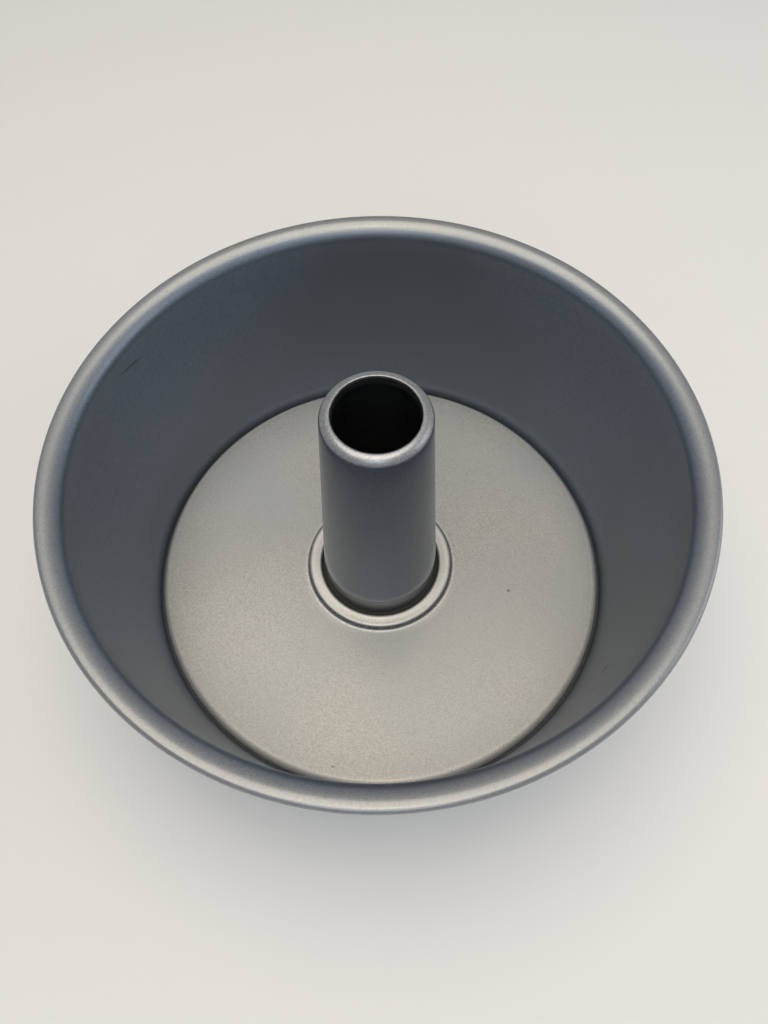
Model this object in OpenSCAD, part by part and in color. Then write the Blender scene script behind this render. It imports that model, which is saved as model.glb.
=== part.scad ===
// Two-piece angel food cake pan: an outer ring with a rolled rim, and a loose base
// made of a flat plate with a tall centre tube fixed through it.
//
// Everything is pressed from one gauge of sheet steel and is round about the Z axis.
// Z = 0 is the table under the ring's ledge. Sizes are millimetres and degrees.

/* [Sheet] */
// Thickness of the coated sheet
sheet_t = 0.8; // [0.6:0.05:1.2]

/* [Pan ring] */
// Outer radius over the rolled rim
rim_r = 130; // [126:0.5:140]
// Height of the rim's crest above the table
pan_h = 106.7; // [95:0.1:125]
// Inner radius where the wall meets the ledge
floor_r = 108.8; // [104:0.1:110]
// Width of the turned-in ledge that carries the base
ledge_w = 8; // [5:0.5:12]
// Inside radius of the corner between ledge and wall
floor_corner_r = 0.8; // [0.5:0.1:2]

/* [Rim] */
// Width of the flare, from the neck's inner face out to the edge
flare_w = 9.9; // [8:0.1:14]
// Outer radius of the rolled edge's own section
roll_r = 1.8; // [1.5:0.1:2.4]
// How far the edge is rolled under, counted from the crest
roll_turn = 215; // [120:5:230]
// Drop from the crest to the narrow neck under the flare
neck_drop = 6.8; // [5:0.1:10]
// Radius on which the wall bends upright below the neck
bow_r = 70; // [40:5:120]
// Undercut of the neck past upright
neck_tuck = 1; // [0:0.5:3]
// Slope at which the flare passes from its tight curve to its wide one
flare_split = 35; // [25:1:45]

/* [Base plate] */
// Free gap between the plate's edge and the wall
seat_gap = 1.1; // [0.4:0.1:2]
// Height of the plate's upper face above the ledge
plate_rise = 4.2; // [4:0.1:8]
// Outer radius of the plate's turned-down edge
edge_r = 3.5; // [1.5:0.1:3.9]
// Height of the raised boss around the tube
boss_h = 2.4; // [2:0.1:4]
// Radius where the boss meets the flat of the plate
boss_r = 36.7; // [36:0.1:45]
// Steepest slope of the boss's step
boss_slope = 58; // [40:1:75]
// Radius of the boss's upper bend
boss_top_r = 1.6; // [1:0.1:2]
// Radius of the boss's lower bend
boss_foot_r = 1.4; // [1:0.1:2]
// Radius of the hole's rolled edge
hole_edge_r = 1.1; // [0.9:0.1:1.5]
// Upward tilt of the boss's face at the hole
hole_tilt = 12; // [4:1:15]
// Radius on which that tilt fades into the flat
hole_fade_r = 12; // [6:1:14]

/* [Centre tube] */
// Height of the tube's lip above the table
tube_h = 132; // [115:0.5:150]
// Inner radius of the tube's mouth
mouth_r = 16.3; // [14:0.1:18]
// Length of the straight collar inside the mouth
mouth_l = 3; // [2:0.5:6]
// Radius of the lip where it turns into the mouth
lip_in_r = 0.9; // [0.6:0.1:1.5]
// Radius of the lip's rolled-over shoulder
lip_out_r = 3.8; // [2.5:0.1:5]
// Outer radius of the straight foot
foot_r = 26.65; // [25:0.05:28]
// Height of the foot's upper end above the table
foot_top = 17.2; // [14:0.1:24]
// Inward step where the cone is drawn down to the foot
foot_step = 0.3; // [0.1:0.05:0.6]
// Radius of the two bends of that step
foot_step_r = 3; // [2:0.5:6]
// Height of the flange's underside above the table
flange_z = 2.6; // [1:0.1:3]
// Lap of the flange past the plate's collar
flange_lap = 3.2; // [2:0.1:5]
// Radius of the bend between foot and flange, inside the sheet
flange_bend_r = 0.6; // [0.4:0.1:1.2]

/* [Fit] */
// Free gap between the tube's foot and the plate's collar
hole_gap = 2.45; // [1:0.05:3]

/* [Hidden] */

half_t = sheet_t / 2;
turn_facets = 180;
bend_step = 7;
fine_step = 3.5;
bow_step = 1.5;
quarter = 90;

// Levels and radii shared by the pieces
ledge_top = sheet_t;
plate_top = ledge_top + plate_rise;
plate_r = floor_r - seat_gap;
hole_r = foot_r + hole_gap;
flange_top = flange_z + sheet_t;
flange_r = hole_r + sheet_t + flange_lap;

// A station is a point of a sheet's middle line with the way the line runs there: [r, z, heading].
// Heading 0 runs outwards and heading 90 runs up. A path is a list of stations.

// Unit vector to the left of a heading
function left_of(h) = [-sin(h), cos(h)];

// Station a straight distance further on
function run(s, d) = [s[0] + d * cos(s[2]), s[1] + d * sin(s[2]), s[2]];

// Straight distances that bring a station to a given radius or height
function run_to_r(s, r) = (r - s[0]) / cos(s[2]);
function run_to_z(s, z) = (z - s[1]) / sin(s[2]);

// Station at a turn along a bend whose middle line has the given radius, left when turn > 0
function turned(s, radius, turn) =
    let (shift = sign(turn) * radius * (left_of(s[2]) - left_of(s[2] + turn)))
    [s[0] + shift[0], s[1] + shift[1], s[2] + turn];

// Stations of a whole bend, its start left out
function bend(s, radius, turn, step = bend_step) =
    let (n = ceil(abs(turn) / step))
    [for (i = [1:n]) turned(s, radius, turn * i / n)];

function last(path) = path[len(path) - 1];
function reversed(path) = [for (i = [len(path) - 1:-1:0]) path[i]];

// Points beside a path, off to its left
function beside(path, off) =
    [for (s = path) [s[0], s[1]] + off * left_of(s[2])];

// Sheet of even thickness along a path, turned about the axis
module pressed(path)
    rotate_extrude($fn = turn_facets)
        polygon(concat(beside(path, half_t), reversed(beside(path, -half_t))));

// Pan ring, from the ledge's inner edge up the wall and over the rim.
// The wall's inner face runs from its foot to a tangent of the bow, the wide bend below the neck
wall_foot = [floor_r, ledge_top];
neck_turn = quarter + neck_tuck;
bow_center = [rim_r - flare_w + half_t, pan_h - neck_drop] + bow_r * left_of(neck_turn);
to_bow = bow_center - wall_foot;
wall_turn = atan2(to_bow[1], to_bow[0]) - asin((bow_r - half_t) / norm(to_bow));
corner_reach = floor_corner_r * tan(wall_turn / 2);
ledge_in = [floor_r - ledge_w, half_t, 0];
ledge_out = run(ledge_in, run_to_r(ledge_in, floor_r - corner_reach));
corner = bend(ledge_out, floor_corner_r + half_t, wall_turn);
wall_top = run(last(corner), run_to_z(last(corner), bow_center[1] - bow_r * left_of(wall_turn)[1]));
bow = bend(wall_top, bow_r, neck_turn - wall_turn, bow_step);
neck = last(bow);

// The flare is two bends, a tight one of radius flare_low and a wide one of radius flare_high,
// whose radii bring the line from the neck to the crest
crest_r = rim_r - roll_r;
crest_z = pan_h - half_t;
low_reach = [sin(neck[2]) - sin(flare_split), cos(flare_split) - cos(neck[2])];
high_reach = [sin(flare_split), 1 - cos(flare_split)];
flare_reach = [crest_r - neck[0], crest_z - neck[1]];
flare_det = low_reach[0] * high_reach[1] - high_reach[0] * low_reach[1];
flare_low = (flare_reach[0] * high_reach[1] - high_reach[0] * flare_reach[1]) / flare_det;
flare_high = (low_reach[0] * flare_reach[1] - flare_reach[0] * low_reach[1]) / flare_det;
flare_tight = bend(neck, flare_low, flare_split - neck[2]);
flare_wide = bend(last(flare_tight), flare_high, -flare_split);
roll = bend(last(flare_wide), roll_r - half_t, -roll_turn);

module pan_ring()
    color("dimgray")
        pressed(concat([ledge_in, ledge_out], corner, [wall_top], bow, flare_tight, flare_wide, roll));

// Base plate, from the collar in the hole over the boss and out to the turned-down edge
collar_end = [hole_r + half_t, flange_top, quarter];
hole_bend_r = hole_edge_r - half_t;
fade_drop = (hole_fade_r + half_t) * (1 - cos(hole_tilt));
boss_mid = plate_top + boss_h - half_t;
hole_bend_rise = turned([0, 0, quarter], hole_bend_r, -quarter - hole_tilt)[1];
collar_top = run(collar_end, run_to_z(collar_end, boss_mid + fade_drop - hole_bend_rise));
hole_bend = bend(collar_top, hole_bend_r, -quarter - hole_tilt);
hole_fade = bend(last(hole_bend), hole_fade_r + half_t, hole_tilt, bow_step);
step_bends_r = boss_top_r + boss_foot_r;
step_run = (boss_h - step_bends_r * (1 - cos(boss_slope))) / sin(boss_slope);
step_reach = step_bends_r * sin(boss_slope) + step_run * cos(boss_slope);
boss_edge = run(last(hole_fade), run_to_r(last(hole_fade), boss_r - step_reach));
boss_top_bend = bend(boss_edge, boss_top_r - half_t, -boss_slope);
step_foot = run(last(boss_top_bend), step_run);
boss_foot_bend = bend(step_foot, boss_foot_r + half_t, boss_slope);
plate_flat = run(last(boss_foot_bend), run_to_r(last(boss_foot_bend), plate_r - edge_r));
edge_bend = bend(plate_flat, edge_r - half_t, -quarter);
edge_end = run(last(edge_bend), run_to_z(last(edge_bend), ledge_top));

module base_plate()
    color("silver")
        pressed(concat([collar_end, collar_top], hole_bend, hole_fade, [boss_edge], boss_top_bend,
                       [step_foot], boss_foot_bend, [plate_flat], edge_bend, [edge_end]));

// Centre tube, from the collar in the mouth over the lip, down the cone and out along the flange
lip_crest = [mouth_r + lip_in_r, tube_h - half_t, 0];
mouth_end = [mouth_r + half_t, tube_h - lip_in_r - mouth_l, quarter];
mouth_top = run(mouth_end, mouth_l);
lip_in = bend(mouth_top, lip_in_r - half_t, -quarter);

// Two opposite bends of equal turn draw the sheet in by foot_step
step_turn = acos(1 - foot_step / (2 * foot_step_r));
cone_foot = [foot_r - half_t + foot_step, foot_top + 2 * foot_step_r * sin(step_turn)];
lip_mid_r = lip_out_r - half_t;
cone_reach = cone_foot - [lip_crest[0], lip_crest[1] - lip_mid_r];
cone_taper = atan2(cone_reach[0], -cone_reach[1]) - asin(lip_mid_r / norm(cone_reach));
lip_out = bend(last(lip_in), lip_mid_r, cone_taper - quarter);
cone_end = run(last(lip_out), run_to_z(last(lip_out), cone_foot[1]));
step_in = bend(cone_end, foot_step_r, -cone_taper - step_turn, fine_step);
step_out = bend(last(step_in), foot_step_r, step_turn, fine_step);
foot_bend_r = flange_bend_r + half_t;
foot_end = run(last(step_out), run_to_z(last(step_out), flange_z + half_t + foot_bend_r));
foot_bend = bend(foot_end, foot_bend_r, quarter);
flange_end = run(last(foot_bend), run_to_r(last(foot_bend), flange_r));

module center_tube()
    color("gray")
        pressed(concat([mouth_end, mouth_top], lip_in, lip_out, [cone_end], step_in, step_out,
                       [foot_end], foot_bend, [flange_end]));

pan_ring();
base_plate();
center_tube();
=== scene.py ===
# %% [markdown]
# # An angel food cake pan
# This pan bakes tall sponge cakes. A tapered ring with a rolled rim stands on the table, and a loose base
# rests inside it: a flat plate with a tall open tube fixed through its middle. Every piece is pressed from
# thin sheet steel and covered with a gray non-stick coating. The notebook draws each sheet as the line that
# its cross-section follows, turns the line about the pan's axis, and gives it the sheet's thickness.

# %% Load the fixed frame
from collections import namedtuple
from math import acos, asin, atan2, cos, degrees, hypot, pi, radians, sin, tan

import bmesh
import bpy
from mathutils import Matrix, Vector, noise


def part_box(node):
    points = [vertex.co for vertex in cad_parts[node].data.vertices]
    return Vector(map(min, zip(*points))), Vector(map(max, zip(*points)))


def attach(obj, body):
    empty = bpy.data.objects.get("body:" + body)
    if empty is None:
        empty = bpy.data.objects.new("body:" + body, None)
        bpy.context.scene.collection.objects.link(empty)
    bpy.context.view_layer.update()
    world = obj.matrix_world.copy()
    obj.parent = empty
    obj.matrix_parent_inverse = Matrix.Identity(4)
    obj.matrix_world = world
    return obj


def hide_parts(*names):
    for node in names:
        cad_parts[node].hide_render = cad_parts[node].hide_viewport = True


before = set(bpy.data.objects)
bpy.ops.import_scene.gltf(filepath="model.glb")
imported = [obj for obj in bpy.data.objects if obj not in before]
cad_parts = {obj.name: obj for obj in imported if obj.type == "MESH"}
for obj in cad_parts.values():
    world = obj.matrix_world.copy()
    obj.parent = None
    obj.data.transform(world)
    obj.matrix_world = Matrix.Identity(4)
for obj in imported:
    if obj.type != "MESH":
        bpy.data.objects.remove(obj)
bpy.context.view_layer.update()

MM = 0.001

# %% [markdown]
# ## The camera
# The photograph looks down into the pan from above the near rim, with a slight turn of the horizon. The
# camera could be aimed at a point with a constraint. Here its place and its two turns are written down as
# they were measured, because the outline of the rim fixes all of them closely. The lens is the wide one of
# a telephone, and the frame is upright, so the sensor's long side is the picture's height.

# %% Place the camera
CAMERA_PLACE = Vector((2.25, -158.38, 355.71)) * MM
CAMERA_DIP = radians(62.0)
CAMERA_ROLL = radians(-0.787)
LENS_MM = 27.04
SENSOR_MM = 36
UPRIGHT = radians(90)

camera_data = bpy.data.cameras.new("camera")
camera_data.sensor_width = SENSOR_MM
camera_data.lens = LENS_MM
camera = bpy.data.objects.new("camera", camera_data)
tilt = Matrix.Rotation(UPRIGHT - CAMERA_DIP, 4, "X") @ Matrix.Rotation(CAMERA_ROLL, 4, "Z")
camera.matrix_world = Matrix.Translation(CAMERA_PLACE) @ tilt
bpy.context.scene.collection.objects.link(camera)
bpy.context.scene.camera = camera
print("the camera stands", round(CAMERA_PLACE.z / MM), "mm above the table")

# %% [markdown]
# ## Drawing a sheet's line
# A pressed sheet keeps its thickness round every bend, so the line through the middle of the sheet describes
# it fully. The line could be a list of points, but a list hides which stretches are straight and which are
# round. The helper below works like a pen that remembers where it is and which way it heads. It goes straight
# by extruding its tip, and it bends by spinning its tip about a centre beside it.

# %% A pen for cross-sections
class SheetLine:
    """The middle line of a sheet, drawn in the plane of X and Z.

    Heading 0 runs outwards and a heading of 90 degrees runs up."""

    def __init__(self, radius, height, heading):
        self.mesh = bmesh.new()
        self.tip = bmesh.ops.create_vert(self.mesh, co=(radius, 0, height))["vert"][0]
        self.heading = heading

    def left(self):
        return Vector((-sin(self.heading), 0, cos(self.heading)))

    def run(self, distance, pieces=1):
        """Goes straight on, in a few equal pieces."""
        ahead = Vector((cos(self.heading), 0, sin(self.heading)))
        for _ in range(pieces):
            self.tip = bmesh.ops.extrude_vert_indiv(self.mesh, verts=[self.tip])["verts"][0]
            bmesh.ops.translate(self.mesh, verts=[self.tip], vec=ahead * (distance / pieces))

    def run_to_radius(self, radius, pieces=1):
        self.run((radius - self.tip.co.x) / cos(self.heading), pieces)

    def run_to_height(self, height, pieces=1):
        self.run((height - self.tip.co.z) / sin(self.heading), pieces)

    def bend(self, radius, turn, pieces):
        """Goes round a bend of the given radius, to the left when turn is positive."""
        side = 1 if turn > 0 else -1
        center = self.tip.co + side * radius * self.left()
        spun = bmesh.ops.spin(self.mesh, geom=[self.tip], cent=center, axis=(0, -1, 0), dvec=(0, 0, 0),
                              angle=turn, steps=pieces)
        self.tip = spun["geom_last"][0]
        self.heading += turn


# %% [markdown]
# ## From a line to a surface
# Each piece is round about the pan's axis, so its line only has to be spun a full turn. The Screw modifier
# could do the same and stay live. The bmesh operator is chosen because the surface can then be shaped
# further. After a full turn the last line lies on the first, so the doubles are merged, and the normals are
# made to point outwards.

# %% Spin a line about the pan's axis
def turned(mesh, steps, merge):
    """Spins a line a full turn into a smooth surface and merges points that lie closer than merge."""
    bmesh.ops.spin(mesh, geom=mesh.verts[:] + mesh.edges[:], cent=(0, 0, 0), axis=(0, 0, 1), dvec=(0, 0, 0),
                   angle=2 * pi, steps=steps, use_merge=True)
    bmesh.ops.remove_doubles(mesh, verts=mesh.verts, dist=merge)
    bmesh.ops.recalc_face_normals(mesh, faces=mesh.faces)
    for face in mesh.faces:
        face.smooth = True


def set_in_scene(mesh, name):
    """Turns a finished bmesh into an object of the scene."""
    data = bpy.data.meshes.new(name)
    mesh.to_mesh(data)
    mesh.free()
    made = bpy.data.objects.new(name, data)
    bpy.context.scene.collection.objects.link(made)
    print(name, "has", len(data.polygons), "faces")
    return made


# %% [markdown]
# ## A surface that isn't quite true
# Real pressings are never quite true, and that makes the reflections wander a little. The surface could be
# pushed about by hand in Sculpt Mode, but that can't be repeated. Here each point moves along its normal by
# less than a tenth of a millimetre of slow noise, and a seed gives the same surface on each run.

# %% Let a surface wander
def wander(mesh, amount, patch, seed, held_below):
    """Moves a surface along its normals by slow noise, but not below a height where it has to stay true."""
    mesh.normal_update()
    moves = []
    for vert in mesh.verts:
        free = min(1, max(0, (vert.co.z - held_below) / patch))
        moves.append(vert.normal * noise.noise(vert.co / patch + Vector((seed, 0, 0))) * amount * free)
    for vert, move in zip(mesh.verts, moves):
        vert.co += move


# %% [markdown]
# ## The sheet's thickness
# A surface has no thickness, and a rim seen at its cut edge would give that away. Both sides of the sheet
# could be drawn in the line. A Solidify modifier is simpler: it grows the sheet to both sides of its middle
# and keeps it even round the bends. A Bevel modifier then softens the cut edges as the coating does.

# %% Thicken a sheet
SHEET_T = 0.8 * MM
HALF_T = SHEET_T / 2
TURN_STEPS = 240
SHEET_MERGE = 0.001 * MM
EDGE_SOFTNESS = 0.15 * MM
EDGE_SEGMENTS = 2
CUT_EDGE_ANGLE = radians(60)


def pressed_sheet(name, line, amount, patch, held_below, seed):
    """Spins a sheet's line into a whole piece and gives it its thickness."""
    turned(line.mesh, steps=TURN_STEPS, merge=SHEET_MERGE)
    wander(line.mesh, amount, patch, seed, held_below)
    piece = set_in_scene(line.mesh, name)
    thick = piece.modifiers.new("sheet thickness", "SOLIDIFY")
    thick.thickness = SHEET_T
    thick.offset = 0
    thick.use_even_offset = True
    soft = piece.modifiers.new("coated edges", "BEVEL")
    soft.width = EDGE_SOFTNESS
    soft.segments = EDGE_SEGMENTS
    soft.limit_method = "ANGLE"
    soft.angle_limit = CUT_EDGE_ANGLE
    soft.harden_normals = True
    return piece


# %% [markdown]
# ## The ring
# The ring is one drawn sheet. It starts at the ledge that carries the base, turns up through a tight corner,
# leans out along the wall, bends upright again below the rim, flares out over the crest and is rolled under.
# It could be cut from a cone and a torus, but then every bend would need a seam hidden. One line that is
# spun has none. The heights and radii are the ones that the working model has.

# %% Sizes of the ring
RING_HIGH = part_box("pan_ring")[1]
RING_WANDER = 0.10 * MM
RIM_R = RING_HIGH.y - RING_WANDER
RIM_TOP = RING_HIGH.z - RING_WANDER
FLOOR_R = 108.8 * MM
LEDGE_W = 8 * MM
CORNER_R = 0.8 * MM
FLARE_W = 9.9 * MM
NECK_DROP = 6.8 * MM
NECK_HEADING = radians(91)
BOW_R = 70 * MM
FLARE_SPLIT = radians(35)
ROLL_R = 1.8 * MM
ROLL_TURN = radians(215)
print("the rim is drawn", round(2 * RIM_R / MM, 1), "mm across and", round(RIM_TOP / MM, 1), "mm high")

# %% [markdown]
# ## Sizes that follow from others
# Some sizes aren't free. The wall has to leave the ledge's corner and meet the wide bow below the neck
# without a kink, so its lean is that of the line that touches both. The flare has a tight bend and a wide
# one, and their radii follow from where the flare starts and where it has to end. All could be tried by eye,
# but the next change of a size would spoil the fit, so they are worked out.

# %% Lean of the wall
def wall_heading():
    """Heading of the wall and height of the bow's centre."""
    bow_x = RIM_R - FLARE_W + HALF_T - BOW_R * sin(NECK_HEADING)
    bow_z = RIM_TOP - NECK_DROP + BOW_R * cos(NECK_HEADING)
    across, up = bow_x - FLOOR_R, bow_z - SHEET_T
    return atan2(up, across) - asin((BOW_R - HALF_T) / hypot(across, up)), bow_z


lean, bow_height = wall_heading()
print("the wall leans out by", round(90 - degrees(lean), 2), "degrees")

# %% Radii of the flare
def flare_radii(start, heading):
    """Radii of the tight and the wide bend that lead from the neck to the crest."""
    low_x, low_z = sin(heading) - sin(FLARE_SPLIT), cos(FLARE_SPLIT) - cos(heading)
    high_x, high_z = sin(FLARE_SPLIT), 1 - cos(FLARE_SPLIT)
    reach_x, reach_z = RIM_R - ROLL_R - start.x, RIM_TOP - HALF_T - start.z
    det = low_x * high_z - high_x * low_z
    return (reach_x * high_z - high_x * reach_z) / det, (low_x * reach_z - reach_x * low_z) / det


# %% Draw the ring's line
ring_line = SheetLine(FLOOR_R - LEDGE_W, HALF_T, 0)
ring_line.run_to_radius(FLOOR_R - CORNER_R * tan(lean / 2), pieces=3)
ring_line.bend(CORNER_R + HALF_T, lean, pieces=10)
ring_line.run_to_height(bow_height - BOW_R * cos(lean), pieces=30)
ring_line.bend(BOW_R, NECK_HEADING - lean, pieces=6)
tight_r, wide_r = flare_radii(ring_line.tip.co, NECK_HEADING)
ring_line.bend(tight_r, FLARE_SPLIT - NECK_HEADING, pieces=12)
ring_line.bend(wide_r, -FLARE_SPLIT, pieces=10)
ring_line.bend(ROLL_R - HALF_T, -ROLL_TURN, pieces=30)
print("the flare's bends have radii of", round(tight_r / MM, 2), "and", round(wide_r / MM, 2), "mm")

# %% Make the ring
ring = pressed_sheet("ring_shell", ring_line, RING_WANDER, patch=45 * MM, held_below=12 * MM, seed=3)
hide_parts("pan_ring")
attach(ring, "pan_ring")

# %% [markdown]
# ## The base plate
# The plate is a flat disc with three pressed features: a turned-down edge that stands on the ring's ledge, a
# low boss around the tube with a clear step, and a rolled collar where the tube comes through. The boss's
# face tilts up slightly towards the collar. A disc could be inset and extruded ring by ring, but round bends
# come easier from the line. It is drawn from the collar outwards.

# %% Sizes of the plate
PLATE_TOP = 5.0 * MM
PLATE_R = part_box("base_plate")[1].x
PLATE_EDGE_R = 3.5 * MM
HOLE_R = 29.1 * MM
COLLAR_FOOT = 3.4 * MM
HOLE_EDGE_R = 1.1 * MM
HOLE_TILT = radians(12)
HOLE_FADE_R = 12 * MM
BOSS_H = 2.4 * MM
BOSS_R = 36.7 * MM
BOSS_SLOPE = radians(58)
BOSS_TOP_R = 1.6 * MM
BOSS_FOOT_R = 1.4 * MM
print("the plate is drawn", round(2 * PLATE_R / MM, 1), "mm across")

# %% Work out the boss's step and the collar
fade_drop = (HOLE_FADE_R + HALF_T) * (1 - cos(HOLE_TILT))
hole_bend_r = HOLE_EDGE_R - HALF_T
bend_rise = hole_bend_r * cos(HOLE_TILT)
step_bends = BOSS_TOP_R + BOSS_FOOT_R
step_run = (BOSS_H - step_bends * (1 - cos(BOSS_SLOPE))) / sin(BOSS_SLOPE)
step_reach = step_bends * sin(BOSS_SLOPE) + step_run * cos(BOSS_SLOPE)
print("the boss's step runs straight for", round(step_run / MM, 2), "mm between its bends")

# %% Draw the plate's line
plate_line = SheetLine(HOLE_R + HALF_T, COLLAR_FOOT, UPRIGHT)
plate_line.run_to_height(PLATE_TOP + BOSS_H - HALF_T + fade_drop - bend_rise, pieces=3)
plate_line.bend(hole_bend_r, -UPRIGHT - HOLE_TILT, pieces=12)
plate_line.bend(HOLE_FADE_R + HALF_T, HOLE_TILT, pieces=5)
plate_line.run_to_radius(BOSS_R - step_reach, pieces=2)
plate_line.bend(BOSS_TOP_R - HALF_T, -BOSS_SLOPE, pieces=9)
plate_line.run(step_run, pieces=2)
plate_line.bend(BOSS_FOOT_R + HALF_T, BOSS_SLOPE, pieces=9)
plate_line.run_to_radius(PLATE_R - PLATE_EDGE_R, pieces=20)
plate_line.bend(PLATE_EDGE_R - HALF_T, -UPRIGHT, pieces=12)
plate_line.run_to_height(SHEET_T)
print("the plate's line has", len(plate_line.mesh.verts), "points")

# %% Make the plate
PLATE_WANDER = 0.06 * MM

plate = pressed_sheet("plate_shell", plate_line, PLATE_WANDER, patch=40 * MM, held_below=-35 * MM, seed=11)
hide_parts("base_plate")
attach(plate, "loose_base")

# %% [markdown]
# ## The centre tube
# The tube is a cone that is open at both ends. Its upper end is rolled over into a short collar inside the
# mouth, its foot is drawn in by a hair so that it fits the plate, and a flange at the bottom fixes it there.
# A cone primitive would give the walls but none of the bends. The cone's lean is the one that touches the
# rolled lip and reaches the foot, so it is worked out.

# %% Sizes of the tube
TUBE_WANDER = 0.05 * MM
TUBE_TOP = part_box("center_tube")[1].z - TUBE_WANDER
MOUTH_R = 16.3 * MM
MOUTH_L = 3 * MM
LIP_IN_R = 0.9 * MM
LIP_OUT_R = 3.8 * MM
FOOT_R = 26.65 * MM
FOOT_TOP = 17.2 * MM
FOOT_STEP = 0.3 * MM
FOOT_STEP_R = 3 * MM
FLANGE_Z = 2.6 * MM
FLANGE_R = 33.1 * MM
FLANGE_BEND_R = 0.6 * MM + HALF_T
print("the tube's mouth is drawn", round(TUBE_TOP / MM, 1), "mm above the table")

# %% Work out the cone
step_turn = acos(1 - FOOT_STEP / (2 * FOOT_STEP_R))
cone_foot_r = FOOT_R - HALF_T + FOOT_STEP
cone_foot_z = FOOT_TOP + 2 * FOOT_STEP_R * sin(step_turn)
lip_mid_r = LIP_OUT_R - HALF_T
out = cone_foot_r - MOUTH_R - LIP_IN_R
down = TUBE_TOP - HALF_T - lip_mid_r - cone_foot_z
cone_lean = atan2(out, down) - asin(lip_mid_r / hypot(out, down))
print("the tube leans in by", round(degrees(cone_lean), 2), "degrees")

# %% Draw the tube's line
tube_line = SheetLine(MOUTH_R + HALF_T, TUBE_TOP - LIP_IN_R - MOUTH_L, UPRIGHT)
tube_line.run(MOUTH_L, pieces=3)
tube_line.bend(LIP_IN_R - HALF_T, -UPRIGHT, pieces=8)
tube_line.bend(lip_mid_r, cone_lean - UPRIGHT, pieces=16)
tube_line.run_to_height(cone_foot_z, pieces=24)
tube_line.bend(FOOT_STEP_R, -cone_lean - step_turn, pieces=5)
tube_line.bend(FOOT_STEP_R, step_turn, pieces=5)
tube_line.run_to_height(FLANGE_Z + HALF_T + FLANGE_BEND_R, pieces=5)
tube_line.bend(FLANGE_BEND_R, UPRIGHT, pieces=7)
tube_line.run_to_radius(FLANGE_R, pieces=3)
print("the tube's line has", len(tube_line.mesh.verts), "points")

# %% Make the tube
tube = pressed_sheet("tube_shell", tube_line, TUBE_WANDER, patch=30 * MM, held_below=4 * MM, seed=27)
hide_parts("center_tube")
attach(tube, "loose_base")

# %% [markdown]
# ## Helpers for materials
# A finish is a small machine of nodes, and each node could be placed and wired line by line. A few helpers
# keep that short: one adds a node and sets its values, one fills a socket, one does a step of arithmetic, one
# fades between two values, and one mixes two colours.

# %% Add a node and fill a socket
def node(tree, kind, **settings):
    """Adds a node and sets what is named: a property of the node, or else one of its inputs."""
    made = tree.nodes.new(kind)
    for name, value in settings.items():
        if hasattr(made, name):
            setattr(made, name, value)
        else:
            made.inputs[name.replace("_", " ").title()].default_value = value
    return made


def fill(tree, socket, value):
    """Puts a value into a socket, or joins another node's output to it."""
    if isinstance(value, bpy.types.NodeSocket):
        tree.links.new(value, socket)
    else:
        socket.default_value = value


# %% Arithmetic, fades and mixtures
def sum_up(tree, operation, *values):
    """One step of arithmetic on numbers and outputs."""
    made = node(tree, "ShaderNodeMath", operation=operation)
    for socket, value in zip(made.inputs, values):
        fill(tree, socket, value)
    return made.outputs[0]


def fade(tree, value, one_at, zero_at):
    """A mask that is 1 where the value passes one_at and 0 where it passes zero_at."""
    made = node(tree, "ShaderNodeMapRange", interpolation_type="SMOOTHSTEP")
    fill(tree, made.inputs["Value"], value)
    fill(tree, made.inputs["From Min"], zero_at)
    fill(tree, made.inputs["From Max"], one_at)
    return made.outputs["Result"]


def mixed(tree, factor, first, second):
    """The colour between first and second that the factor says."""
    mix = node(tree, "ShaderNodeMix", data_type="RGBA")
    socket_of = {socket.identifier: socket for socket in mix.inputs}
    fill(tree, mix.inputs["Factor"], factor)
    fill(tree, socket_of["A_Color"], first)
    fill(tree, socket_of["B_Color"], second)
    return next(socket for socket in mix.outputs if socket.identifier == "Result_Color")


# %% [markdown]
# ## A spot on the pan
# All patterns of the finish depend on the place on the object, so they stay where they are from any side. An
# unwrapped picture could carry them too, but it would have seams. Object coordinates need no unwrapping, and
# a round pan needs only two measures more: the height above the table and the distance from the axis.

# %% The spot that a mask looks at
Spot = namedtuple("Spot", "tree point height radius")


def spot_on_pan(tree):
    """The point on the object, its height above the table and its distance from the pan's axis."""
    point = node(tree, "ShaderNodeTexCoord").outputs["Object"]
    parts = node(tree, "ShaderNodeSeparateXYZ")
    fill(tree, parts.inputs["Vector"], point)
    across = sum_up(tree, "MULTIPLY", parts.outputs["X"], parts.outputs["X"])
    along = sum_up(tree, "MULTIPLY_ADD", parts.outputs["Y"], parts.outputs["Y"], across)
    return Spot(tree, point, parts.outputs["Z"], sum_up(tree, "SQRT", along))


# %% [markdown]
# ## Masks
# A mask says how strongly something shows at a spot, from 0 to 1. It could be painted on the mesh's points.
# Here it is a small function that takes a spot and adds the nodes it needs, so it is exact, doesn't care how
# the mesh is cut, and can be joined with another mask. The helpers below make such functions.

# %% Masks that fade with height, with radius and with clouds
def fading(measure, one_at, zero_at, strength=1):
    """Makes a mask that fades along the spot's height or radius."""
    def mask(spot):
        strong = fade(spot.tree, getattr(spot, measure), one_at, zero_at)
        return sum_up(spot.tree, "MULTIPLY", strong, strength)
    return mask


def cloudy(clouds_per_m, detail, one_at, zero_at, strength):
    """Makes a mask of slow clouds."""
    def mask(spot):
        clouds = node(spot.tree, "ShaderNodeTexNoise", scale=clouds_per_m, detail=detail)
        fill(spot.tree, clouds.inputs["Vector"], spot.point)
        strong = fade(spot.tree, clouds.outputs["Fac"], one_at, zero_at)
        return sum_up(spot.tree, "MULTIPLY", strong, strength)
    return mask


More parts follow.
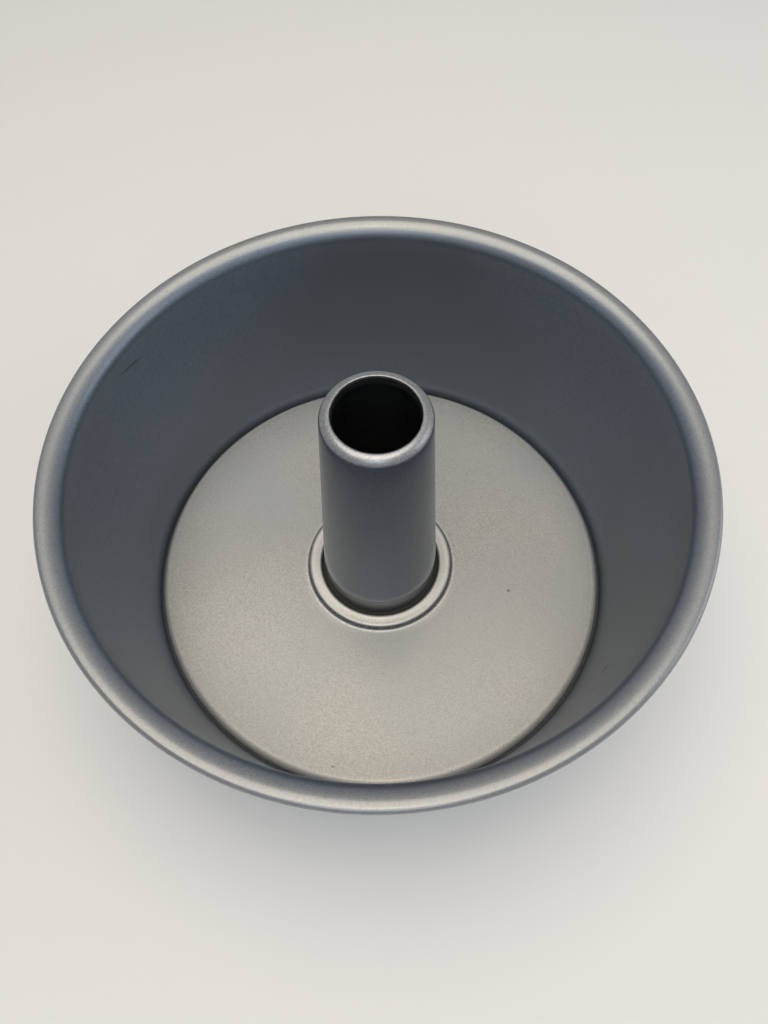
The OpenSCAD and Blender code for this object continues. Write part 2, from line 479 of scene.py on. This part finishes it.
# %% Masks with a sharp border, and two masks joined
def within(limit):
    """Makes a mask of all that lies nearer to the axis than a limit."""
    return lambda spot: sum_up(spot.tree, "LESS_THAN", spot.radius, limit)


def beyond(limit):
    """Makes a mask of all that lies further from the axis than a limit."""
    return lambda spot: sum_up(spot.tree, "GREATER_THAN", spot.radius, limit)


def both(first, second):
    """Makes a mask of the places that two masks share."""
    return lambda spot: sum_up(spot.tree, "MULTIPLY", first(spot), second(spot))


def either(first, second):
    """Makes a mask of the stronger of two masks."""
    return lambda spot: sum_up(spot.tree, "MAXIMUM", first(spot), second(spot))


# %% [markdown]
# ## Small marks of use
# A pan that has been used carries a few marks: a dark speck baked onto the plate, short scuffs where a knife
# freed a cake from the wall. A mark could be painted in an image. Here each one is a ball, squeezed long and
# thin by a Mapping node, and a point of the surface that lies inside the ball is marked. The ball is turned
# so that its long side runs from one end of the mark to the other.

# %% A squeezed ball as a mark
MARK_CORE = 0.3


def stroke(start, end, width, strength):
    """Makes the mask of one short mark. Its ends and its width are in millimetres."""
    start, end = Vector(start) * MM, Vector(end) * MM
    long_half = (end - start).length / 2 + width * MM

    def mask(spot):
        ball = node(spot.tree, "ShaderNodeMapping", vector_type="TEXTURE")
        ball.inputs["Location"].default_value = (start + end) / 2
        ball.inputs["Rotation"].default_value = Vector((1, 0, 0)).rotation_difference(end - start).to_euler()
        ball.inputs["Scale"].default_value = (long_half, width * MM, width * MM)
        fill(spot.tree, ball.inputs["Vector"], spot.point)
        distance = node(spot.tree, "ShaderNodeVectorMath", operation="LENGTH")
        fill(spot.tree, distance.inputs["Vector"], ball.outputs["Vector"])
        strong = fade(spot.tree, distance.outputs["Value"], one_at=MARK_CORE, zero_at=1.0)
        return sum_up(spot.tree, "MULTIPLY", strong, strength)
    return mask


# %% [markdown]
# ## Flakes, clouds and relief
# The coating is a gray lacquer full of fine metal flakes. Up close each flake has its own tone and its own
# tilt, and from afar the tone drifts a little over the sheet. An image of flakes would repeat. A Voronoi
# texture gives each small cell its own colour, whose red and green serve as two numbers that know nothing of
# each other, and a noise texture gives the drift. The tilt and a soft ripple of the sprayed skin go into a
# bump, because relief this fine would need millions of faces.

# %% Flakes and clouds
FLAKES_PER_M = 2300
CLOUDS_PER_M = 22
CLOUD_DETAIL = 4.0
CLOUD_ROUGHNESS = 0.6


def flakes_and_clouds(spot):
    """Two numbers from 0 to 1 that jump from flake to flake, and one that drifts slowly over the sheet."""
    flakes = node(spot.tree, "ShaderNodeTexVoronoi", scale=FLAKES_PER_M)
    fill(spot.tree, flakes.inputs["Vector"], spot.point)
    flake = node(spot.tree, "ShaderNodeSeparateColor")
    fill(spot.tree, flake.inputs["Color"], flakes.outputs["Color"])
    clouds = node(spot.tree, "ShaderNodeTexNoise", scale=CLOUDS_PER_M, detail=CLOUD_DETAIL,
                  roughness=CLOUD_ROUGHNESS)
    fill(spot.tree, clouds.inputs["Vector"], spot.point)
    return flake.outputs["Red"], flake.outputs["Green"], clouds.outputs["Fac"]


# %% Relief of the sprayed skin
RIPPLES_PER_M = 1500
RIPPLE_DETAIL = 2.0
RIPPLE_HEIGHT = 0.7
FLAKE_HEIGHT = 0.5
RELIEF_DEPTH = 0.06 * MM
RELIEF_STRENGTH = 0.22


def sprayed_relief(spot, flake):
    """Soft ripples, and a little tilt from flake to flake."""
    ripple = node(spot.tree, "ShaderNodeTexNoise", scale=RIPPLES_PER_M, detail=RIPPLE_DETAIL)
    fill(spot.tree, ripple.inputs["Vector"], spot.point)
    rippled = sum_up(spot.tree, "MULTIPLY", ripple.outputs["Fac"], RIPPLE_HEIGHT)
    height = sum_up(spot.tree, "MULTIPLY_ADD", flake, FLAKE_HEIGHT, rippled)
    bump = node(spot.tree, "ShaderNodeBump", strength=RELIEF_STRENGTH, distance=RELIEF_DEPTH)
    fill(spot.tree, bump.inputs["Height"], height)
    return bump.outputs["Normal"]


# %% [markdown]
# ## The coating's colour
# A flake's tone and the slow clouds pick the colour between a dark and a light one. Patches are laid over
# it: tinted clouds and marks of wear, and also painted highlights and painted shade. A patch still shows the
# flakes, because its strength follows their tone. The patches could be materials of their own, but then each
# border would be a hard line along the faces.

# %% Colour of a flake, a cloud and a patch
FLAKE_SHARE = 0.65
CLOUD_SHARE = 0.35
PATCH_LEAST = 0.55
PATCH_BY_FLAKE = 0.9


def coat_color(spot, tone, cloud, dark, light, patches):
    """The colour of the sound coating with its patches. A patch is a mask and the colour that shows there."""
    drift = sum_up(spot.tree, "MULTIPLY", cloud, CLOUD_SHARE)
    shade = sum_up(spot.tree, "MULTIPLY_ADD", tone, FLAKE_SHARE, drift)
    color = mixed(spot.tree, shade, (*dark, 1), (*light, 1))
    patch_by_flake = sum_up(spot.tree, "MULTIPLY_ADD", tone, PATCH_BY_FLAKE, PATCH_LEAST)
    for mask, patch_color in patches:
        patch_shown = sum_up(spot.tree, "MULTIPLY", mask(spot), patch_by_flake)
        color = mixed(spot.tree, patch_shown, color, (*patch_color, 1))
    return color


# %% [markdown]
# ## The coating's gloss
# The coating isn't a mirror: the flakes spread the lamps into a wide soft glow, and the clear skin over them
# keeps a fainter and sharper reflection, which draws the thin bright lines along the bends. One roughness
# can't give both, so the shader is a rough metal under a smooth clear coat. The skin is whole on the bends
# that hands polish, and thinner elsewhere. Where two pieces meet, a dark and dull residue is painted, which
# is no metal; its darkness is also painted shade in the narrow gaps between the pieces.

# %% Build a coating
Skin = namedtuple("Skin", "least roughness ior")
# The seam colour is residue and painted shade: it darkens the narrow gaps between the pieces.
RESIDUE_AND_SHADE = (0.045, 0.042, 0.04, 1)
RESIDUE_ROUGHER = 0.4
CLOUD_ROUGHER = 0.05


def coating(name, dark, light, metal, rough, skin, polish, patches, seam):
    """The flaky gray coating. Polish is the mask of the whole skin, and seam is the mask of the residue and
    painted shade.
    """
    material = bpy.data.materials.new(name)
    material.use_nodes = True
    tree = material.node_tree
    socket = tree.nodes["Principled BSDF"].inputs
    spot = spot_on_pan(tree)
    tone, tilt, cloud = flakes_and_clouds(spot)
    residue_and_shade = seam(spot)
    clear_of_seam = sum_up(tree, "SUBTRACT", 1.0, residue_and_shade)
    sound = node(tree, "ShaderNodeMapRange", to_min=rough - CLOUD_ROUGHER, to_max=rough + CLOUD_ROUGHER)
    fill(tree, sound.inputs["Value"], cloud)
    dulled = sum_up(tree, "MULTIPLY_ADD", residue_and_shade, RESIDUE_ROUGHER, sound.outputs["Result"])
    whole = sum_up(tree, "MULTIPLY_ADD", polish(spot), 1 - skin.least, skin.least)
    color = coat_color(spot, tone, cloud, dark, light, patches)
    fill(tree, socket["Base Color"], mixed(tree, residue_and_shade, color, RESIDUE_AND_SHADE))
    fill(tree, socket["Metallic"], sum_up(tree, "MULTIPLY", clear_of_seam, metal))
    fill(tree, socket["Roughness"], dulled)
    fill(tree, socket["Normal"], sprayed_relief(spot, tilt))
    fill(tree, socket["Coat Weight"], sum_up(tree, "MULTIPLY", clear_of_seam, whole))
    socket["Coat Roughness"].default_value = skin.roughness
    socket["Coat IOR"].default_value = skin.ior
    return material


def coat(piece, finish):
    """Gives a piece its finish."""
    piece.data.materials.append(finish)
    print(piece.name, "has a finish of", len(finish.node_tree.nodes), "nodes")


# %% [markdown]
# ## Coat the ring
# The ring is a dark bluish gray, and slow dull clouds lie over it. Its flare is painted paler, a painted
# sheen where the bend gathers light. A few short scuffs show inside, and residue with painted shade sits low
# beside the plate's edge. Scuffs and that seam belong to the inner face only, but a mask can't see which side
# of the sheet it is on. Two materials could tell the sides apart. Here each spot is brought down along the
# wall's lean to its foot, and its radius is compared there, so one material does for both sides.

# %% Masks of the ring
WALL_FOOT_R = 109.2 * MM
SOOT = (0.035, 0.034, 0.033)


def inner_face(spot):
    """1 on the ring's inner face and 0 on its outer one."""
    brought_down = sum_up(spot.tree, "MULTIPLY_ADD", spot.height, -1 / tan(lean), spot.radius)
    return sum_up(spot.tree, "LESS_THAN", brought_down, WALL_FOOT_R)


# Residue and painted shade, low in the gap beside the plate's edge.
ring_seam = both(fading("height", one_at=0.6 * MM, zero_at=1.4 * MM), inner_face)
dull_clouds = cloudy(clouds_per_m=9.0, detail=2.0, one_at=0.66, zero_at=0.40, strength=0.6)
# A painted sheen: the flare's outer part is made paler where its bend gathers light. The same mask marks
# where the clear skin is whole.
flare_sheen_and_polish = fading("height", one_at=106.5 * MM, zero_at=103.6 * MM, strength=0.8)
scuffs = [both(stroke((90.4, -69.6, 44.6), (93.4, -66.9, 50.8), width=1.2, strength=0.9), inner_face),
          both(stroke((83.6, -78.6, 49.5), (84.6, -77.8, 51.9), width=1.2, strength=0.9), inner_face),
          both(stroke((-110.4, 47.2, 94.2), (-102.0, 62.6, 90.6), width=1.1, strength=0.35), inner_face)]
print("the ring has", len(scuffs), "scuffs")

# %% Coating of the ring
coat(ring, coating(
    "ring_coating", dark=(0.147, 0.188, 0.245), light=(0.257, 0.31, 0.387), metal=0.85, rough=0.5,
    skin=Skin(least=0.33, roughness=0.2, ior=1.8), polish=flare_sheen_and_polish, seam=ring_seam,
    patches=[(dull_clouds, (0.185, 0.208, 0.228)),
             (flare_sheen_and_polish, (0.29, 0.296, 0.306)),
             *((scuff, SOOT) for scuff in scuffs)]))

# %% [markdown]
# ## Coat the plate
# The plate is paler and warmer than the ring, with cool clouds over it. The boss's face and the bent edge
# stand proud and get a painted highlight, and the steep side of the boss's step gets a painted shade. A few
# large lamps can't bring all of that out, so the coating's colour helps. Residue and painted shade sit on the
# turned-down edge and in the hole, and two specks are baked on. Such rings could be loops of faces with other
# materials, but a fade by radius gives them soft borders.

# %% Masks of the plate
# Residue and painted shade on the turned-down edge and down in the hole.
plate_seam = either(
    both(fading("height", one_at=0.8 * MM, zero_at=1.8 * MM), beyond(PLATE_R - PLATE_EDGE_R)),
    both(fading("height", one_at=3.8 * MM, zero_at=5.4 * MM), within(HOLE_R + HOLE_EDGE_R)))
cool_clouds = cloudy(clouds_per_m=14.0, detail=1.0, one_at=0.7, zero_at=0.35, strength=0.6)
# A painted highlight on the boss's face and on the plate's bent edge.
boss_and_edge_highlight = either(
    fading("radius", one_at=36.0 * MM, zero_at=37.4 * MM, strength=1.1),
    fading("radius", one_at=PLATE_R - 2.0 * MM, zero_at=PLATE_R - 3.8 * MM, strength=1.1))
# A painted dark reflection: the steep side of the step is darkened where it mirrors the dark surroundings.
steep_step_painted_dark = both(
    fading("radius", one_at=34.9 * MM, zero_at=34.3 * MM),
    fading("radius", one_at=35.5 * MM, zero_at=36.2 * MM, strength=0.8))
polished_bends = either(
    fading("radius", one_at=PLATE_R - 3.0 * MM, zero_at=PLATE_R - 5.0 * MM),
    fading("radius", one_at=37.5 * MM, zero_at=40.0 * MM))
specks = [stroke((62.4, -16.4, 5.0), (62.8, -16.4, 5.0), width=0.9, strength=0.7),
          stroke((-22.0, -98.2, 5.0), (-21.8, -98.2, 5.0), width=0.7, strength=0.6)]
print("the plate has", len(specks), "specks")

# %% Coating of the plate
coat(plate, coating(
    "plate_coating", dark=(0.345, 0.342, 0.34), light=(0.6, 0.597, 0.592), metal=0.7, rough=0.62,
    skin=Skin(least=0.6, roughness=0.2, ior=1.6), polish=polished_bends, seam=plate_seam,
    patches=[(cool_clouds, (0.43, 0.455, 0.475)),
             (boss_and_edge_highlight, (0.74, 0.732, 0.715)),
             (steep_step_painted_dark, (0.10, 0.115, 0.14)),
             *((speck, SOOT) for speck in specks)]))

# %% [markdown]
# ## Coat the tube
# The tube is the darkest piece. Its lip is painted paler as a painted highlight, and towards its foot it is
# painted a lighter neutral gray, painted light that makes the dark gap beside the foot look thinner. Residue
# with painted shade lies on the flange. The tube could have a lacquer of its own, but the same helpers serve,
# so that the three finishes look like one batch.

# %% Masks and coating of the tube
# Residue and painted shade on the flange, at the bottom of the gap round the tube.
tube_seam = fading("height", one_at=3.4 * MM, zero_at=4.1 * MM)
# A painted highlight on the lip. The same mask marks where the clear skin is whole.
lip_highlight_and_polish = fading("height", one_at=130.6 * MM, zero_at=128.3 * MM, strength=0.8)
# Painted light: the tube's foot is made lighter, so the dark gap beside it looks thinner.
foot_painted_light = fading("height", one_at=8.0 * MM, zero_at=26.0 * MM, strength=0.8)

coat(tube, coating(
    "tube_coating", dark=(0.122, 0.155, 0.208), light=(0.195, 0.235, 0.31), metal=0.9, rough=0.48,
    skin=Skin(least=0.7, roughness=0.16, ior=1.8), polish=lip_highlight_and_polish, seam=tube_seam,
    patches=[(lip_highlight_and_polish, (0.38, 0.388, 0.405)), (foot_painted_light, (0.42, 0.42, 0.42))]))

# %% [markdown]
# ## The bare inside of the tube
# Inside, the tube is dark: hardly any light gets in, so its near-black colour is painted shade over dull
# steel. The Solidify modifier can give its inner side another material, so the dark finish needs no second
# surface. At the mouth the sheet is turned over, so there the side that faces the axis is the outer one, and
# its faces get the dark finish one by one.

# %% Dull steel with painted shade
# Both near-black colours are painted shade over dull steel with stains.
STAINS_PER_M = 60.0
STAIN_DETAIL = 5.0
SHADED_STAIN = (0.006, 0.007, 0.008, 1)
SHADED_STEEL = (0.016, 0.018, 0.02, 1)
ROUGH_AT = 1.4
SMOOTH_AT = -0.6


def dark_steel_and_shade(name):
    """Nearly black steel with stains, painted darker as shade, nowhere fully rough and nowhere fully smooth.
    """
    material = bpy.data.materials.new(name)
    material.use_nodes = True
    tree = material.node_tree
    socket = tree.nodes["Principled BSDF"].inputs
    stains = node(tree, "ShaderNodeTexNoise", scale=STAINS_PER_M, detail=STAIN_DETAIL)
    fill(tree, stains.inputs["Vector"], node(tree, "ShaderNodeTexCoord").outputs["Object"])
    fill(tree, socket["Base Color"], mixed(tree, stains.outputs["Fac"], SHADED_STAIN, SHADED_STEEL))
    fill(tree, socket["Roughness"], fade(tree, stains.outputs["Fac"], one_at=ROUGH_AT, zero_at=SMOOTH_AT))
    return material


# %% Darken the inside
coat(tube, dark_steel_and_shade("dark_steel_and_shade"))
tube.modifiers["sheet thickness"].material_offset = 1
turned_over = [face for face in tube.data.polygons
               if face.center.xy.length < MOUTH_R + LIP_IN_R and face.center.z < TUBE_TOP - LIP_IN_R / 2]
for face in turned_over:
    face.material_index = 1
print(len(turned_over), "faces line the mouth")

# %% [markdown]
# ## The table
# The pan stands on a pale table that curves up all round, as a photographer's sweep does, so no edge shows
# behind it from any side. A flat plane with a wall behind it would serve one view only. The section starts on
# the pan's axis, runs out, bends up on a wide radius, and is spun about the axis like the pan's own sheets.

# %% Spin the table
TABLE_FLAT_R = 1.5
TABLE_BEND_R = 0.6
TABLE_WALL_H = 1.2
TABLE_STEPS = 96

table_line = SheetLine(0, 0, 0)
table_line.run(TABLE_FLAT_R, pieces=4)
table_line.bend(TABLE_BEND_R, UPRIGHT, pieces=16)
table_line.run(TABLE_WALL_H, pieces=2)
turned(table_line.mesh, steps=TABLE_STEPS, merge=MM)
table = set_in_scene(table_line.mesh, "table")

# %% Paint the table
table_paint = bpy.data.materials.new("table_paint")
table_paint.use_nodes = True
paint_socket = table_paint.node_tree.nodes["Principled BSDF"].inputs
paint_socket["Base Color"].default_value = (0.85, 0.85, 0.855, 1)
paint_socket["Roughness"].default_value = 0.8
paint_socket["Specular IOR Level"].default_value = 0.2
coat(table, table_paint)

# %% [markdown]
# ## The light
# Most of the light is warm and comes from a broad ceiling, a little from the left. Paler light comes from the
# front and the right, and a small bulb adds a soft glint to the bends. One small lamp alone would draw hard
# lines on the rolled rim, and large round lamps do what soft boxes do in a studio. The even light of the room
# fills the shadows.

# %% Lamps
def soft_lamp(name, size, far, lift, turn, power, color):
    """A round lamp aimed at the pan, far metres away.

    Lift is its angle above the table, and turn goes from the front to the right, both in degrees."""
    data = bpy.data.lights.new(name, "AREA")
    data.shape = "DISK"
    data.size = size
    data.energy = power
    data.color = color
    lamp = bpy.data.objects.new(name, data)
    aim = Matrix.Rotation(radians(turn), 4, "Z") @ Matrix.Rotation(UPRIGHT - radians(lift), 4, "X")
    lamp.matrix_world = aim @ Matrix.Translation((0, 0, far))
    lamp.visible_camera = False
    bpy.context.scene.collection.objects.link(lamp)
    print(name, "lights the pan with", power, "W")


soft_lamp("ceiling", size=1.3, far=1.4, lift=87, turn=-90, power=11.2, color=(1.0, 0.90, 0.72))
soft_lamp("bulb", size=0.12, far=1.4, lift=87, turn=0, power=0.35, color=(1.0, 0.85, 0.6))
soft_lamp("front_box", size=0.8, far=1.4, lift=50, turn=0, power=2.3, color=(0.85, 0.95, 1.0))
soft_lamp("right_box", size=0.8, far=1.2, lift=30, turn=90, power=1.8, color=(0.98, 0.99, 1.0))

# %% The room above
ROOM = (0.28, 0.30, 0.335, 1)

room = bpy.data.worlds.new("room")
room.use_nodes = True
room.node_tree.nodes["Background"].inputs["Color"].default_value = ROOM
bpy.context.scene.world = room
print("the room adds an even light of", ROOM[:3])

# %% [markdown]
# ## Finish
# The colours are shown as they are, with no film look.

# %% Show the colours as they are
bpy.context.scene.view_settings.view_transform = "Standard"
